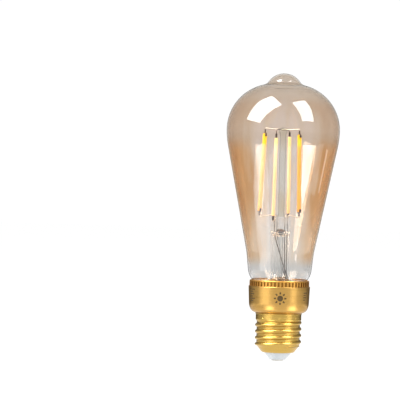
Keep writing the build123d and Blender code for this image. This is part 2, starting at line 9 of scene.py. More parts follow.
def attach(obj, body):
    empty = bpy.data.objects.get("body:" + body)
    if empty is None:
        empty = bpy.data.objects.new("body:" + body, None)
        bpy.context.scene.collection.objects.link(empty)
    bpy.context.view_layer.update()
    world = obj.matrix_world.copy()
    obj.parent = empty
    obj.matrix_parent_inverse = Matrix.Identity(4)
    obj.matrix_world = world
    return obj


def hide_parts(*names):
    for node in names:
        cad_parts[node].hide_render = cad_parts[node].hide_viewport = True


# Looks for the filament lamp. Lengths are in millimetres, as in part.py, and MM turns them into metres.
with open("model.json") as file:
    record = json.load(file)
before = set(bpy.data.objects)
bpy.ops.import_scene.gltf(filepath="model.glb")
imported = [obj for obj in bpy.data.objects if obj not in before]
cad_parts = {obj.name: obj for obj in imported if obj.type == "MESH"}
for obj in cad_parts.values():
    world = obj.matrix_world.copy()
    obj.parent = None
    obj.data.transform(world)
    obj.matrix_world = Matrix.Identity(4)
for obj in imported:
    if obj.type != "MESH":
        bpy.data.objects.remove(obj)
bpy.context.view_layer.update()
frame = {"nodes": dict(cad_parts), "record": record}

MM = 0.001

# --- Finishes ---
# The range that most of a noise falls in.
NOISE_SWING = (0.3, 0.7)
NOISE_ROUGHNESS = 0.55
# How much broader a finish's drift of colour is than its grain.
DRIFT_TO_GRAIN = 8.0
# Stretches the grain of a turned finish round the axis.
TURNED = (0.08, 0.08, 2.2)
GLASS_IOR = 1.5
ROD_IOR = 1.06

# --- Envelope, the same outline as the CAD solid. The skin sits just inside its facets ---
ENVELOPE_RADIUS = 32.0
GLASS_WALL = 0.8
SKIN_INSET = 0.02
WIDEST_Z = 130.5
TOP_Z = 162.6
PIP_RADIUS = 10.8
PIP_FILLET = 5.0
DOME_RADIUS = 26.1
BELLY_RADIUS = 47.5
CONE_ANGLE = 11.35
WAIST_Z = 62.3
WAIST_RADIUS = 20.0
NECK_ANGLE = 6.2
SHOULDER_Z = 51.6
SHOULDER_RADIUS = 12.0
SHOULDER_ANGLE = 45.0
SEAL_RADIUS = 3.0
ENVELOPE_SEGMENTS = 240
# A point of an outline nearer to the axis than this is on it.
ON_AXIS = 1e-4
# The outline's points are this many degrees apart on arcs, and this far apart on straight runs.
ARC_STEP = 1.5
LINE_STEP = 2.5
# The heights between which one zone of the tint passes into the next.
TINT_FADE_Z = (52.0, 60.0)
TINT_CONE_Z = (62.0, 100.0)
TINT_DOME_Z = (117.0, 128.0)
TINT_CROWN_Z = (142.0, 153.0)

# --- Filaments: bearing, foot radius, foot height and head radius, as in the CAD ---
FILAMENT_RADIUS = 1.22
# The cool filaments are drawn this much smaller in radius.
COOL_NARROWER = 0.2
FILAMENT_LENGTH = 43.8
FILAMENTS = {
    "warm_filament_left": (199.0, 13.1, 84.5, 10.9),
    "cool_filament_left": (245.0, 11.4, 81.9, 9.8),
    "warm_filament_right": (21.0, 11.0, 84.4, 10.1),
    "cool_filament_right": (65.0, 10.6, 83.3, 9.6),
}
# Where the phosphor passes from its left tone to its right one, and the leads from dark wire to bright.
TONE_CHANGE_X = (-6.0, 6.0)
LEAD_CHANGE_Z = (76.0, 80.0)
CHIP_COUNT = 28
CHIP_BULGE = 0.035
END_ROUND = 0.5
RING_STEP = 0.25
FILAMENT_SEGMENTS = 24
SHARP_ANGLE = 40.0
CLIP_EAR = 1.6
CLIP_THICKNESS = 0.3
CLIP_WIDTH = 0.9
EAR_RADIUS = 0.65
EAR_FLATTENING = 0.7
BEND_STEPS = 12

# --- Knurled ring: radius at the grooves and the teeth, and the teeth's top, which bound the painted shade in the grooves ---
RING_RADII = (16.5, 16.8)
RING_TEETH_Z = 44.8
RING_TEETH_FADE = 0.1

# --- Collar's printed marks ---
COLLAR_RADIUS = 17.4
COLLAR_TOP_Z = 42.2
COLLAR_DRAFT = 2.5
PRINT_PROUD = 0.03
PRINT_BURIED = 0.05
SUN_Z = 35.9
SUN_BEARING = -90.0
SUN_DISC_RADIUS = 1.65
SUN_DISC_POINTS = 32
SUN_RAYS = 8
SUN_RAY_INNER = 2.3
SUN_RAY_OUTER = 3.55
SUN_RAY_WIDTH = 1.0
SUN_RAY_TAPER = 0.7
# Plain bars where the lamp has its rating print: bearing, middle height, rows and longest bar.
PRINT_BLOCKS = [(-151.5, 37.2, 6, 4.4), (-33.5, 37.0, 4, 3.4)]
# The bars' lengths, as shares of the longest, and the quads that wrap each one on the collar.
BAR_LENGTHS = (1.0, 0.62, 0.85, 0.5)
BAR_QUADS = 6
BAR_PITCH = 1.3
BAR_HEIGHT = 0.55

# --- Camera and light ---
CAMERA_AT = (-46.1, -1200.0, 89.75)
CAMERA_LENS = 190.8
CAMERA_SENSOR = 36.0
CAMERA_REACH = 50000.0
CAMERA_ROLL = 1.46
FLOOR_RADIUS = 6000.0
FLOOR_SEGMENTS = 96
FLOOR_GLOW = 0.93
FLOOR_SHEET = 0.07
ROOM_SEEN = 1.02
# What reflections see of the room: (sine of the elevation, level), and a factor for the front and the back.
ROOM_LEVELS = [(-1.0, 0.15), (-0.06, 0.2), (0.0, 0.7), (0.3, 0.55), (0.7, 0.35), (1.0, 0.3)]
ROOM_FRONT = 1.3
ROOM_BACK = 0.3
CARD_HALF = 900.0
CARD_SIDES = (-300.0, 330.0)
CARD_BACK = 170.0
CARD_SOFT = 60.0
CARD_WOBBLE = 18.0
# Level of the table's glow at distances from the lamp.
CARD_LEVELS = [
    (0.0, 1.2), (60.0, 1.1), (90.0, 0.8), (150.0, 1.25), (250.0, 1.25), (330.0, 0.75), (600.0, 0.6)]
CARD_PEAK = 2.0
# Brighter patches just above the table: the level of each, and its corners in plan.
PATCHES = {
    "patch_left": (4.6, [(-300, -290), (-200, -290), (-100, -140), (-200, -30), (-320, -80), (-340, -180)]),
    "patch_right": (8.0, [(260, -320), (460, -160), (220, -150), (200, -190)]),
    "streak_near": (1.4, [(540, -110), (640, 20), (360, 0), (300, -110)]),
    "streak_far": (2.5, [(570, 130), (600, 200), (420, 120), (400, 70)]),
    "spot_left": (4.5, [(-10, -30), (-30, -20), (-60, -60), (-40, -80)]),
    "spot_right": (4.5, [(20, -30), (30, -10), (90, -50), (60, -80)]),
}
PATCH_LIFT = 0.5
# A patch fades between these shares of its reach, down to this share of its level.
PATCH_FADE = (0.3, 1.1)
PATCH_EDGE = 0.6
SOFTBOX_DISTANCE = 1200.0
# Each softbox: bearing from the front, elevation, roll, width and height over its distance, and strength.
SOFTBOXES = {
    "softbox_left": (-62.0, 46.5, -11.0, 0.68, 1.12, 11.0),
    "softbox_right": (54.0, 44.5, -8.0, 0.46, 0.88, 10.0),
}


def at(radius, bearing, z):
    """The point at a radius and bearing round the lamp's axis."""
    return Vector((radius * cos(radians(bearing)), radius * sin(radians(bearing)), z))


# --- Materials ---

class Nodes:
    """The node tree of a new material or world, built node by node."""

    def __init__(self, name, kept_in=bpy.data.materials):
        self.owner = kept_in.new(name)
        self.owner.use_nodes = True
        self.tree = self.owner.node_tree
        self.tree.nodes.clear()

    def plug(self, value, socket):
        """Links a node or an output to the socket, or sets the socket to a plain value."""
        if isinstance(value, bpy.types.Node):
            value = value.outputs[0]
        if isinstance(value, bpy.types.NodeSocket):
            self.tree.links.new(value, socket)
        else:
            socket.default_value = value

    def add(self, kind, inputs, **settings):
        node = self.tree.nodes.new("ShaderNode" + kind)
        for key, value in settings.items():
            setattr(node, key, value)
        for key, value in inputs.items():
            self.plug(value, node.inputs[key])
        return node

    def place(self, stretch=(1.0, 1.0, 1.0)):
        """Object coordinates in millimetres, each axis then multiplied by its stretch."""
        where = self.add("TexCoord", {}).outputs["Object"]
        return self.add("Mapping", {"Vector": where, "Scale": [s / MM for s in stretch]})

    def height(self):
        """Height above the contact, in millimetres."""
        return self.add("SeparateXYZ", {"Vector": self.place()}).outputs["Z"]

    def noise(self, where, size, detail):
        inputs = {"Vector": where, "Scale": 1 / size, "Detail": detail, "Roughness": NOISE_ROUGHNESS}
        return self.add("TexNoise", inputs)

    def ranged(self, value, low, high, to_low=0.0, to_high=1.0, smooth=False):
        return self.add(
            "MapRange",
            {"Value": value, "From Min": low, "From Max": high, "To Min": to_low, "To Max": to_high},
            interpolation_type="SMOOTHSTEP" if smooth else "LINEAR",
        )

    def spread(self, noise, low, high):
        """A noise's usual swing, spread from low to high."""
        return self.ranged(noise, *NOISE_SWING, low, high)

    def ramp(self, value, stops):
        """A colour ramp with (position, colour) stops."""
        node = self.add("ValToRGB", {"Fac": value})
        elements = node.color_ramp.elements
        while len(elements) < len(stops):
            elements.new(0.5)
        for element, (position, colour) in zip(elements, stops):
            element.position = position
            element.color = (*colour, 1.0)
        return node

    def drifting(self, noise, *tones):
        """A colour that drifts through the tones with a noise."""
        start, end = NOISE_SWING
        stops = [(start + (end - start) * i / (len(tones) - 1), tone) for i, tone in enumerate(tones)]
        return self.ramp(noise, stops)

    def mixed(self, factor, first, second):
        """The first colour where the factor is 0, and the second where it is 1."""
        node = self.add("Mix", {}, data_type="RGBA")
        sockets = {s.identifier: s for s in node.inputs}
        self.plug(factor, sockets["Factor_Float"])
        for key, value in (("A_Color", first), ("B_Color", second)):
            self.plug((*value, 1.0) if isinstance(value, tuple) else value, sockets[key])
        return next(s for s in node.outputs if s.identifier == "Result_Color")

    def bump(self, height, depth):
        return self.add("Bump", {"Height": height, "Distance": depth * MM, "Strength": 1.0})

    def math(self, operation, first, second=0.0):
        return self.add("Math", {0: first, 1: second}, operation=operation)

    def output(self, shader, kind="OutputMaterial"):
        self.add(kind, {"Surface": shader})
        return self.owner


def surface(name, tones, rough, grain, stretch=(1.0, 1.0, 1.0), depth=0.01, **sockets):
    """A finish whose colour drifts between tones, with a fine grain in its roughness and its bump."""
    n = Nodes(name)
    where = n.place(stretch)
    fine = n.noise(where, grain, 6.0)
    inputs = {
        "Base Color": n.drifting(n.noise(where, grain * DRIFT_TO_GRAIN, 3.0), *tones),
        "Roughness": n.spread(fine, *rough),
        "Normal": n.bump(fine, depth),
    }
    inputs.update({key.replace("_", " "): value for key, value in sockets.items()})
    return n.output(n.add("BsdfPrincipled", inputs))


def glass(n, colour, rough, index, normal):
    """Tinted glass that lets shadow rays through, so that light reaches what is inside."""
    body = n.add("BsdfPrincipled", {
        "Base Color": colour,
        "Roughness": rough,
        "IOR": index,
        "Transmission Weight": 1.0,
        "Normal": normal,
    })
    shadow = n.add("LightPath", {}).outputs["Is Shadow Ray"]
    clear = n.add("BsdfTransparent", {"Color": colour})
    return n.output(n.add("MixShader", {0: shadow, 1: body, 2: clear}))


def amber_glass():
    """Blown glass with a baked-on tint, deeper where it is seen edge-on and gone at the neck."""
    n = Nodes("amber_glass")
    where = n.place()
    z = n.height()
    facing = n.add("LayerWeight", {"Blend": 0.5}).outputs["Facing"]
    cloud = n.noise(where, 26.0, 2.0)
    streaks = n.noise(n.place((1.0, 1.0, 0.05)), 5.0, 2.0)
    clouded = n.math("ADD", facing, n.spread(cloud, -0.05, 0.05))
    depth = n.math("ADD", clouded, n.ranged(streaks, 0.35, 0.65, -0.07, 0.07))
    crown = n.ramp(depth, [
        (0.0, (0.79, 0.73, 0.69)),
        (0.14, (0.78, 0.72, 0.66)),
        (0.36, (0.76, 0.69, 0.62)),
        (0.8, (0.68, 0.60, 0.50)),
    ])
    dome = n.ramp(depth, [
        (0.0, (0.79, 0.71, 0.65)),
        (0.14, (0.76, 0.67, 0.58)),
        (0.36, (0.70, 0.57, 0.455)),
        (0.8, (0.62, 0.48, 0.37)),
    ])
    cone = n.ramp(depth, [
        (0.0, (0.82, 0.77, 0.75)),
        (0.10, (0.80, 0.70, 0.61)),
        (0.36, (0.73, 0.48, 0.26)),
        (0.8, (0.66, 0.40, 0.22)),
    ])
    low = n.ramp(depth, [
        (0.0, (0.84, 0.81, 0.78)),
        (0.12, (0.82, 0.75, 0.68)),
        (0.36, (0.79, 0.61, 0.43)),
        (0.8, (0.72, 0.54, 0.39)),
    ])
    tint = n.mixed(n.ranged(z, *TINT_CONE_Z, smooth=True), low, cone)
    tint = n.mixed(n.ranged(z, *TINT_DOME_Z, smooth=True), tint, dome)
    tint = n.mixed(n.ranged(z, *TINT_CROWN_Z, smooth=True), tint, crown)
    clear = n.drifting(cloud, (0.71, 0.70, 0.685), (0.76, 0.75, 0.74))
    colour = n.mixed(n.ranged(z, *TINT_FADE_Z, smooth=True), clear, tint)
    waves = n.noise(n.place((1.0, 1.0, 0.35)), 9.0, 2.0)
    return glass(n, colour, n.spread(cloud, 0.0, 0.012), GLASS_IOR, n.bump(waves, 0.02))


def stem_glass():
    """Clear glass with the faint ripple of a pressed and drawn stem."""
    n = Nodes("stem_glass")
    ripple = n.noise(n.place((1.0, 1.0, 0.4)), 3.0, 3.0)
    colour = n.drifting(ripple, (0.93, 0.94, 0.94), (0.97, 0.975, 0.975))
    return glass(n, colour, n.spread(ripple, 0.0, 0.02), GLASS_IOR, n.bump(ripple, 0.03))


def phosphor(name, left, right, tip, glow):
    """Silicone filled with phosphor, with a tone on the lamp's left, one on its right and one at the tips.

    The row of chips shows faintly. The faint emission is a painted glow that brightens the phosphor, which
    is not lit.
    """
    n = Nodes(name)
    where = n.place()
    split = n.add("SeparateXYZ", {"Vector": where})
    z = split.outputs["Z"]
    body = n.mixed(n.ranged(split.outputs["X"], *TONE_CHANGE_X), left, right)
    speckle = n.noise(where, 0.35, 5.0)
    feet_z = [foot_z for _, _, foot_z, _ in FILAMENTS.values()]
    low_z, high_z = min(feet_z), max(feet_z) + FILAMENT_LENGTH
    levels = [(0.04, 0.5), (0.09, 0.0), (0.84, 0.0), (0.88, 1.0)]
    at_ends = n.ramp(n.ranged(z, low_z, high_z), [(share, (level,) * 3) for share, level in levels])
    # At scale 1 the texture's bands are pi / 10 apart.
    pitch = FILAMENT_LENGTH / CHIP_COUNT
    chips = n.add("TexWave", {"Vector": where, "Scale": pi / 10 / pitch}, bands_direction="Z")
    tone = n.mixed(at_ends, body, tip)
    tone = n.mixed(n.ranged(chips, 0.0, 1.0, 0.0, 0.12), tone, tip)
    tone = n.mixed(n.ranged(speckle, 0.35, 0.65, 0.0, 0.15), tone, tuple(0.8 * c for c in left))
    return n.output(n.add("BsdfPrincipled", {
        "Base Color": tone,
        "Roughness": n.spread(speckle, 0.32, 0.5),
        "Normal": n.bump(speckle, 0.03),
        "Subsurface Weight": 0.15,
        "Subsurface Radius": (1.0 * MM, 0.6 * MM, 0.3 * MM),
        # Painted light: a faint glow in the phosphor's own tone.
        "Emission Color": tone,
        "Emission Strength": glow,
    }))


def lead_wire():
    """Nickel wire in the gas space, and darker oxidised wire from the seal down."""
    n = Nodes("lead_wire")
    grain = n.noise(n.place((1.0, 1.0, 0.15)), 0.3, 5.0)
    bright = n.drifting(grain, (0.72, 0.69, 0.62), (0.86, 0.83, 0.76))
    dark = n.drifting(grain, (0.07, 0.05, 0.04), (0.13, 0.09, 0.07))
    return n.output(n.add("BsdfPrincipled", {
        "Base Color": n.mixed(n.ranged(n.height(), *LEAD_CHANGE_Z, smooth=True), dark, bright),
        "Roughness": n.spread(grain, 0.25, 0.4),
        "Normal": n.bump(grain, 0.006),
        "Metallic": 1.0,
    }))


def ring_gold():
    """Satin gold with painted shade that darkens the grooves between the ring's teeth."""
    n = Nodes("ring_gold")
    where = n.place()
    grain = n.noise(where, 0.5, 6.0)
    tone = n.drifting(n.noise(where, 4.0, 3.0), (0.60, 0.31, 0.065), (0.70, 0.37, 0.085))
    split = n.add("SeparateXYZ", {"Vector": where})
    flat = n.add("CombineXYZ", {"X": split.outputs["X"], "Y": split.outputs["Y"]})
    radius = n.add("VectorMath", {0: flat}, operation="LENGTH").outputs["Value"]
    # Painted shade: the grooves below the teeth's top get a darker colour.
    groove_shade = n.ranged(radius, *RING_RADII, 1.0, 0.0)
    toothed = n.ranged(split.outputs["Z"], RING_TEETH_Z, RING_TEETH_Z + RING_TEETH_FADE, 1.0, 0.0)
    dark = n.math("MULTIPLY", groove_shade, toothed)
    return n.output(n.add("BsdfPrincipled", {
        "Base Color": n.mixed(dark, tone, (0.30, 0.135, 0.026)),
        "Roughness": n.spread(grain, 0.28, 0.42),
        "Normal": n.bump(grain, 0.006),
        "Metallic": 1.0,
    }))


def rod_glass():
    """A drawn glass post with a greyer line along each side, which is painted shade in place of the dark
    edge that refraction gives a real rod.

    Its index is low, so that it doesn't act as a lens and fill with the filaments' colour.
    """
    n = Nodes("rod_glass")
    ripple = n.noise(n.place((1.0, 1.0, 0.2)), 1.2, 3.0)
    facing = n.add("LayerWeight", {"Blend": 0.5}).outputs["Facing"]
    # Painted shade: the darker stop draws a grey line along each side of the post.
    colour = n.ramp(facing, [
        (0.0, (0.84, 0.88, 0.83)),
        (0.22, (0.84, 0.88, 0.83)),
        (0.27, (0.58, 0.60, 0.57)),
        (0.34, (0.78, 0.81, 0.78)),
        (0.7, (0.80, 0.83, 0.80)),
        (0.9, (0.82, 0.84, 0.82)),
    ])
    return glass(n, colour, n.spread(ripple, 0.0, 0.05), ROD_IOR, n.bump(ripple, 0.02))


# Looks of the plain finishes. A key with a capital is a socket of the shader.
SURFACES = {
    "collar_gold": dict(
        tones=[(0.50, 0.29, 0.07), (0.57, 0.335, 0.095), (0.53, 0.315, 0.08)],
        rough=(0.26, 0.38), grain=0.4, stretch=TURNED, depth=0.004, Metallic=1.0),
    "cap_brass": dict(
        tones=[(0.52, 0.335, 0.07), (0.61, 0.395, 0.10), (0.565, 0.365, 0.085)],
        rough=(0.24, 0.34), grain=0.5, stretch=TURNED, depth=0.003, Metallic=1.0),
    "insulator": dict(
        tones=[(0.56, 0.60, 0.62), (0.64, 0.67, 0.69)],
        rough=(0.18, 0.32), grain=0.6, depth=0.01),
    "contact_tin": dict(
        tones=[(0.58, 0.56, 0.52), (0.70, 0.68, 0.64)],
        rough=(0.35, 0.5), grain=0.3, depth=0.01, Metallic=1.0),
    "cement": dict(
        tones=[(0.70, 0.66, 0.58), (0.80, 0.77, 0.70)],
        rough=(0.7, 0.9), grain=0.4, depth=0.08),
    "tab_metal": dict(
        tones=[(0.035, 0.02, 0.014), (0.08, 0.05, 0.035)],
        rough=(0.35, 0.55), grain=0.2, depth=0.01, Metallic=1.0),
    "wire_metal": dict(
        tones=[(0.16, 0.12, 0.10), (0.26, 0.21, 0.18)],
        rough=(0.25, 0.4), grain=0.3, stretch=(1.0, 1.0, 0.15), depth=0.006, Metallic=1.0),
    "clip_dark": dict(
        tones=[(0.025, 0.012, 0.008), (0.06, 0.03, 0.02)],
        rough=(0.4, 0.6), grain=0.2, depth=0.01),
    "wire_bright": dict(
        tones=[(0.80, 0.76, 0.68), (0.90, 0.87, 0.80)],
        rough=(0.25, 0.4), grain=0.3, stretch=(0.15, 1.0, 1.0), depth=0.006, Metallic=1.0),
    "board_laminate": dict(
        tones=[(0.02, 0.16, 0.07), (0.03, 0.22, 0.10)],
        rough=(0.3, 0.45), grain=0.25, depth=0.01),
    "module_laminate": dict(
        tones=[(0.01, 0.05, 0.16), (0.02, 0.08, 0.22)],
        rough=(0.3, 0.45), grain=0.25, depth=0.01),
    "shield_can": dict(
        tones=[(0.55, 0.56, 0.57), (0.66, 0.67, 0.68)],
        rough=(0.28, 0.42), grain=0.3, stretch=(0.2, 1.0, 1.0), depth=0.004, Metallic=1.0),
    "copper": dict(
        tones=[(0.68, 0.30, 0.15), (0.80, 0.40, 0.22)],
        rough=(0.25, 0.4), grain=0.3, depth=0.006, Metallic=1.0),
    "capacitor_sleeve": dict(
        tones=[(0.015, 0.018, 0.03), (0.03, 0.035, 0.05)],
        rough=(0.2, 0.35), grain=0.5, depth=0.01),
    "ferrite": dict(
        tones=[(0.03, 0.03, 0.035), (0.06, 0.06, 0.065)],
        rough=(0.55, 0.75), grain=0.2, depth=0.02),
    "film_case": dict(
        tones=[(0.30, 0.03, 0.02), (0.38, 0.05, 0.03)],
        rough=(0.2, 0.32), grain=0.8, depth=0.02),
    "chip_black": dict(
        tones=[(0.012, 0.012, 0.014), (0.03, 0.03, 0.032)],
        rough=(0.5, 0.7), grain=0.12, depth=0.006),
    "chip_ceramic": dict(
        tones=[(0.42, 0.40, 0.36), (0.54, 0.52, 0.47)],
        rough=(0.4, 0.6), grain=0.15, depth=0.006),
    "resistor_case": dict(
        tones=[(0.16, 0.24, 0.19), (0.22, 0.31, 0.25)],
        rough=(0.25, 0.4), grain=0.3, depth=0.01),
    "terminal_tin": dict(
        tones=[(0.58, 0.57, 0.55), (0.68, 0.67, 0.65)],
        rough=(0.25, 0.4), grain=0.3, depth=0.004, Metallic=1.0),
    "insulation_red": dict(
        tones=[(0.40, 0.02, 0.015), (0.50, 0.03, 0.02)],
        rough=(0.3, 0.42), grain=0.4, depth=0.006),
    "print_ink": dict(
        tones=[(0.045, 0.026, 0.008), (0.075, 0.045, 0.014)],
        rough=(0.45, 0.6), grain=0.3, depth=0.004, Specular_IOR_Level=0.2),
}

MATERIALS = {name: surface(name, **look) for name, look in SURFACES.items()}
MATERIALS.update({
    "ring_gold": ring_gold(),
    "lead_wire": lead_wire(),
    "envelope_glass": amber_glass(),
    "rod_glass": rod_glass(),
    "stem_glass": stem_glass(),
    # Both phosphors get the same faint painted glow.
    "phosphor_warm": phosphor(
        "phosphor_warm",
        left=(0.96, 0.60, 0.27), right=(0.97, 0.42, 0.06), tip=(1.0, 0.66, 0.0), glow=0.25),
    "phosphor_cool": phosphor(
        "phosphor_cool",
        left=(0.96, 0.76, 0.50), right=(0.96, 0.80, 0.46), tip=(0.95, 0.72, 0.30), glow=0.25),
})

# CAD nodes whose finish isn't simply the one named after their material slot.
FINISHES = {
    "glass_rod": "rod_glass",
    "warm_bridge_wire": "wire_bright",
    "warm_lead_left": "lead_wire",
    "warm_lead_right": "lead_wire",
    "cool_lead_left": "lead_wire",
    "cool_lead_right": "lead_wire",
}


# --- Mesh helpers ---

def mesh_object(name, bm, material):
    """A new object from a bmesh drawn in millimetres."""
    bmesh.ops.recalc_face_normals(bm, faces=bm.faces)
    bmesh.ops.scale(bm, vec=(MM, MM, MM), verts=bm.verts)
    mesh = bpy.data.meshes.new(name)
    bm.to_mesh(mesh)
    bm.free()
    mesh.materials.append(material)
    made = bpy.data.objects.new(name, mesh)
    bpy.context.scene.collection.objects.link(made)
    return made


def lamp_piece(name, bm, finish, replaced=()):
    """A piece of the lamp, which takes the place of the CAD nodes in replaced."""
    piece = mesh_object(name, bm, MATERIALS[finish])
    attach(piece, "root")
    if replaced:
        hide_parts(*replaced)
    return piece


def join_rings(bm, rings):
    """Quads between neighbouring rings of vertices, or triangles where a ring is a single point."""
    for low, high in zip(rings, rings[1:]):
        count = max(len(low), len(high))
        for i in range(count):
            j = (i + 1) % count
            if len(low) == 1:
                bm.faces.new((low[0], high[i], high[j]))
            elif len(high) == 1:
                bm.faces.new((low[i], low[j], high[0]))
            else:
                bm.faces.new((low[i], low[j], high[j], high[i]))


def lathe(bm, profile, segments):
    """Rings of vertices round the axis, one for each (radius, z). A point on the axis is a ring of one."""
    rings = []
    for radius, z in profile:
        if radius < ON_AXIS:
            rings.append([bm.verts.new((0, 0, z))])
        else:
            rings.append([bm.verts.new(at(radius, 360 * i / segments, z)) for i in range(segments)])
    return rings


# --- Envelope ---

def normal(angle):
    """The outline's outward normal, in radius and height, at an angle above level."""
    return Vector((cos(radians(angle)), sin(radians(angle))))


def envelope_steps():
    """Tangent arcs (radius, normal's angle at the end) and straight runs down to a height.

    An arc with a negative radius is hollow.
    """
    pip_centre = Vector((0, TOP_Z - PIP_RADIUS))
    dome_centre = Vector((ENVELOPE_RADIUS - DOME_RADIUS, WIDEST_Z))
    to_dome = dome_centre - pip_centre
    near, far, apart = PIP_RADIUS + PIP_FILLET, DOME_RADIUS + PIP_FILLET, to_dome.length
    along = (near**2 - far**2 + apart**2) / (2 * apart)
    across = sqrt(near**2 - along**2)
    unit = to_dome / apart
    fillet_centre = pip_centre + unit * along + Vector((-unit.y, unit.x)) * across
    pip_end = fillet_centre - pip_centre
    dome_start = fillet_centre - dome_centre
    return [
        (PIP_RADIUS, degrees(atan2(pip_end.y, pip_end.x))),
        (-PIP_FILLET, degrees(atan2(dome_start.y, dome_start.x))),
        (DOME_RADIUS, 0),
        (BELLY_RADIUS, -CONE_ANGLE),
        WAIST_Z,
        (-WAIST_RADIUS, -NECK_ANGLE),
        SHOULDER_Z,
        (SHOULDER_RADIUS, -SHOULDER_ANGLE),
        (SEAL_RADIUS, -90),
    ]


def outline_points(start, angle, steps, inset):
    """Points along the outline, moved inwards by inset."""
    point = Vector(start)
    points = [point - normal(angle) * inset]
    for step in steps:
        if isinstance(step, tuple):
            radius, end_angle = step
            centre = point - normal(angle) * radius
            count = max(2, round(abs(end_angle - angle) / ARC_STEP))
            for i in range(1, count + 1):
                turn = angle + (end_angle - angle) * i / count
                points.append(centre + normal(turn) * (radius - inset))
            point = centre + normal(end_angle) * radius
            angle = end_angle
        else:
            run = (step - point.y) / -cos(radians(angle))
            end = point + Vector((sin(radians(angle)), -cos(radians(angle)))) * run
            count = max(2, round(abs(run) / LINE_STEP))
            for i in range(1, count + 1):
                points.append(point.lerp(end, i / count) - normal(angle) * inset)
            point = end
    return points


def build_envelope():
    """The glass wall, closed over the top and open at the seal."""
    bm = bmesh.new()
    walls = []
    for inset in (SKIN_INSET, GLASS_WALL):
        points = outline_points((0, TOP_Z), 90, envelope_steps(), inset)
        walls.append(lathe(bm, points, ENVELOPE_SEGMENTS))
    outer, inner = walls
    join_rings(bm, outer)
    join_rings(bm, inner)
    join_rings(bm, [outer[-1], inner[-1]])
    piece = lamp_piece("envelope_skin", bm, "envelope_glass", ["glass_envelope"])
    piece.data.shade_smooth()


# --- Filaments ---

def filament_frame(name):
    """Foot, head, and the side and outward directions of a filament."""
    bearing, foot_radius, foot_z, head_radius = FILAMENTS[name]
    rise = sqrt(FILAMENT_LENGTH**2 - (foot_radius - head_radius) ** 2)
    foot = at(foot_radius, bearing, foot_z)
    head = at(head_radius, bearing, foot_z + rise)
    along = (head - foot).normalized()
    side = along.cross(at(1.0, bearing, 0)).normalized()
    return foot, head, along, side, side.cross(along)


def build_filament(name):
    """The silicone bar, gently swollen over each chip, with rounded ends."""
    foot, _, along, side, out = filament_frame(name)
    bm = bmesh.new()
    rings = []
    count = round(FILAMENT_LENGTH / RING_STEP)
    full_radius = FILAMENT_RADIUS - (COOL_NARROWER if name.startswith("cool") else 0.0)
    for i in range(count + 1):
        s = FILAMENT_LENGTH * i / count
        to_end = min(s, FILAMENT_LENGTH - s)
        swell = CHIP_BULGE * (cos(2 * pi * s / FILAMENT_LENGTH * CHIP_COUNT) - 1)
        radius = full_radius + swell
        if to_end < END_ROUND:
            radius -= END_ROUND - sqrt(END_ROUND**2 - (END_ROUND - to_end) ** 2)
        centre = foot + along * s
        angles = [2 * pi * j / FILAMENT_SEGMENTS for j in range(FILAMENT_SEGMENTS)]
        rings.append([bm.verts.new(centre + radius * (side * cos(a) + out * sin(a))) for a in angles])
    join_rings(bm, rings)
    bm.faces.new(rings[0])
    bm.faces.new(rings[-1])
    finish = "phosphor_warm" if name.startswith("warm") else "phosphor_cool"
    piece = lamp_piece(name.replace("filament", "strip"), bm, finish, [name])
    piece.data.shade_smooth()
    piece.data.set_sharp_from_angle(angle=radians(SHARP_ANGLE))


def bent_strip(bm, path, across, width, thickness):
    """A flat strip of metal that follows a path of points, with its width along across."""
    rings = []
    for i, point in enumerate(path):
        before, after = path[max(i - 1, 0)], path[min(i + 1, len(path) - 1)]
        face = across.cross((after - before).normalized())
        corners = [(-1, -1), (1, -1), (1, 1), (-1, 1)]
        rings.append([
            bm.verts.new(point + across * (a * width / 2) + face * (b * thickness / 2)) for a, b in corners
        ])
    join_rings(bm, rings)
    bm.faces.new(rings[0])
    bm.faces.new(rings[-1])


def build_clips():
    """A small dark U-shaped clip with rounded ears over both ends of each warm filament."""
    bm = bmesh.new()
    for name in FILAMENTS:
        if name.startswith("cool"):
            continue
        foot, head, along, side, out = filament_frame(name)
        for end, away in ((foot, -along), (head, along)):
            reach = FILAMENT_RADIUS + CLIP_THICKNESS / 2
            path = []
            for i in range(BEND_STEPS + 1):
                turn = radians(180 * i / BEND_STEPS - 90)
                path.append(end + side * (reach * sin(turn)) + away * (CLIP_THICKNESS * cos(turn)))
            for hook, sign in ((path[0], -1), (path[-1], 1)):
                ear = hook - away * (CLIP_EAR - EAR_RADIUS) + side * (sign * EAR_RADIUS / 2)
                axes = Matrix((side, out, away)).transposed().to_4x4()
                stretch = Matrix.Diagonal((EAR_FLATTENING, 1.0, CLIP_EAR / EAR_RADIUS / 2, 1.0))
                shape = Matrix.Translation(ear) @ axes @ stretch
                bmesh.ops.create_icosphere(bm, subdivisions=2, radius=EAR_RADIUS, matrix=shape)
            path.insert(0, path[0] - away * CLIP_EAR)
            path.append(path[-1] - away * CLIP_EAR)
            bent_strip(bm, path, out, CLIP_WIDTH, CLIP_THICKNESS)
    lamp_piece("end_clips", bm, "clip_dark")


# --- Printed marks on the collar ---

def collar_radius(z):
    """The collar's outer radius, which its draft makes smaller lower down."""
    return COLLAR_RADIUS - (COLLAR_TOP_Z - z) * tan(radians(COLLAR_DRAFT))


def wrapped(u, v, bearing, z, lift):
    """A point of a flat drawing, u to the right and v up, wrapped on the collar at a bearing and height."""
    radius = collar_radius(z + v)
    return at(radius + lift, bearing + degrees(u / radius), z + v)


def print_patch(bm, loop, bearing, z):
    """A thin closed plate of ink that follows the collar.

    The loop's (u, v) points run along its lower edge and back along its upper one, and quads cross
    between the two.
    """
    layers = []
    last = len(loop) - 1
    for lift in (-PRINT_BURIED, PRINT_PROUD):
        layer = [bm.verts.new(wrapped(u, v, bearing, z, lift)) for u, v in loop]
        for i in range(len(loop) // 2 - 1):
            bm.faces.new((layer[i], layer[i + 1], layer[last - i - 1], layer[last - i]))
        layers.append(layer)
    join_rings(bm, layers)


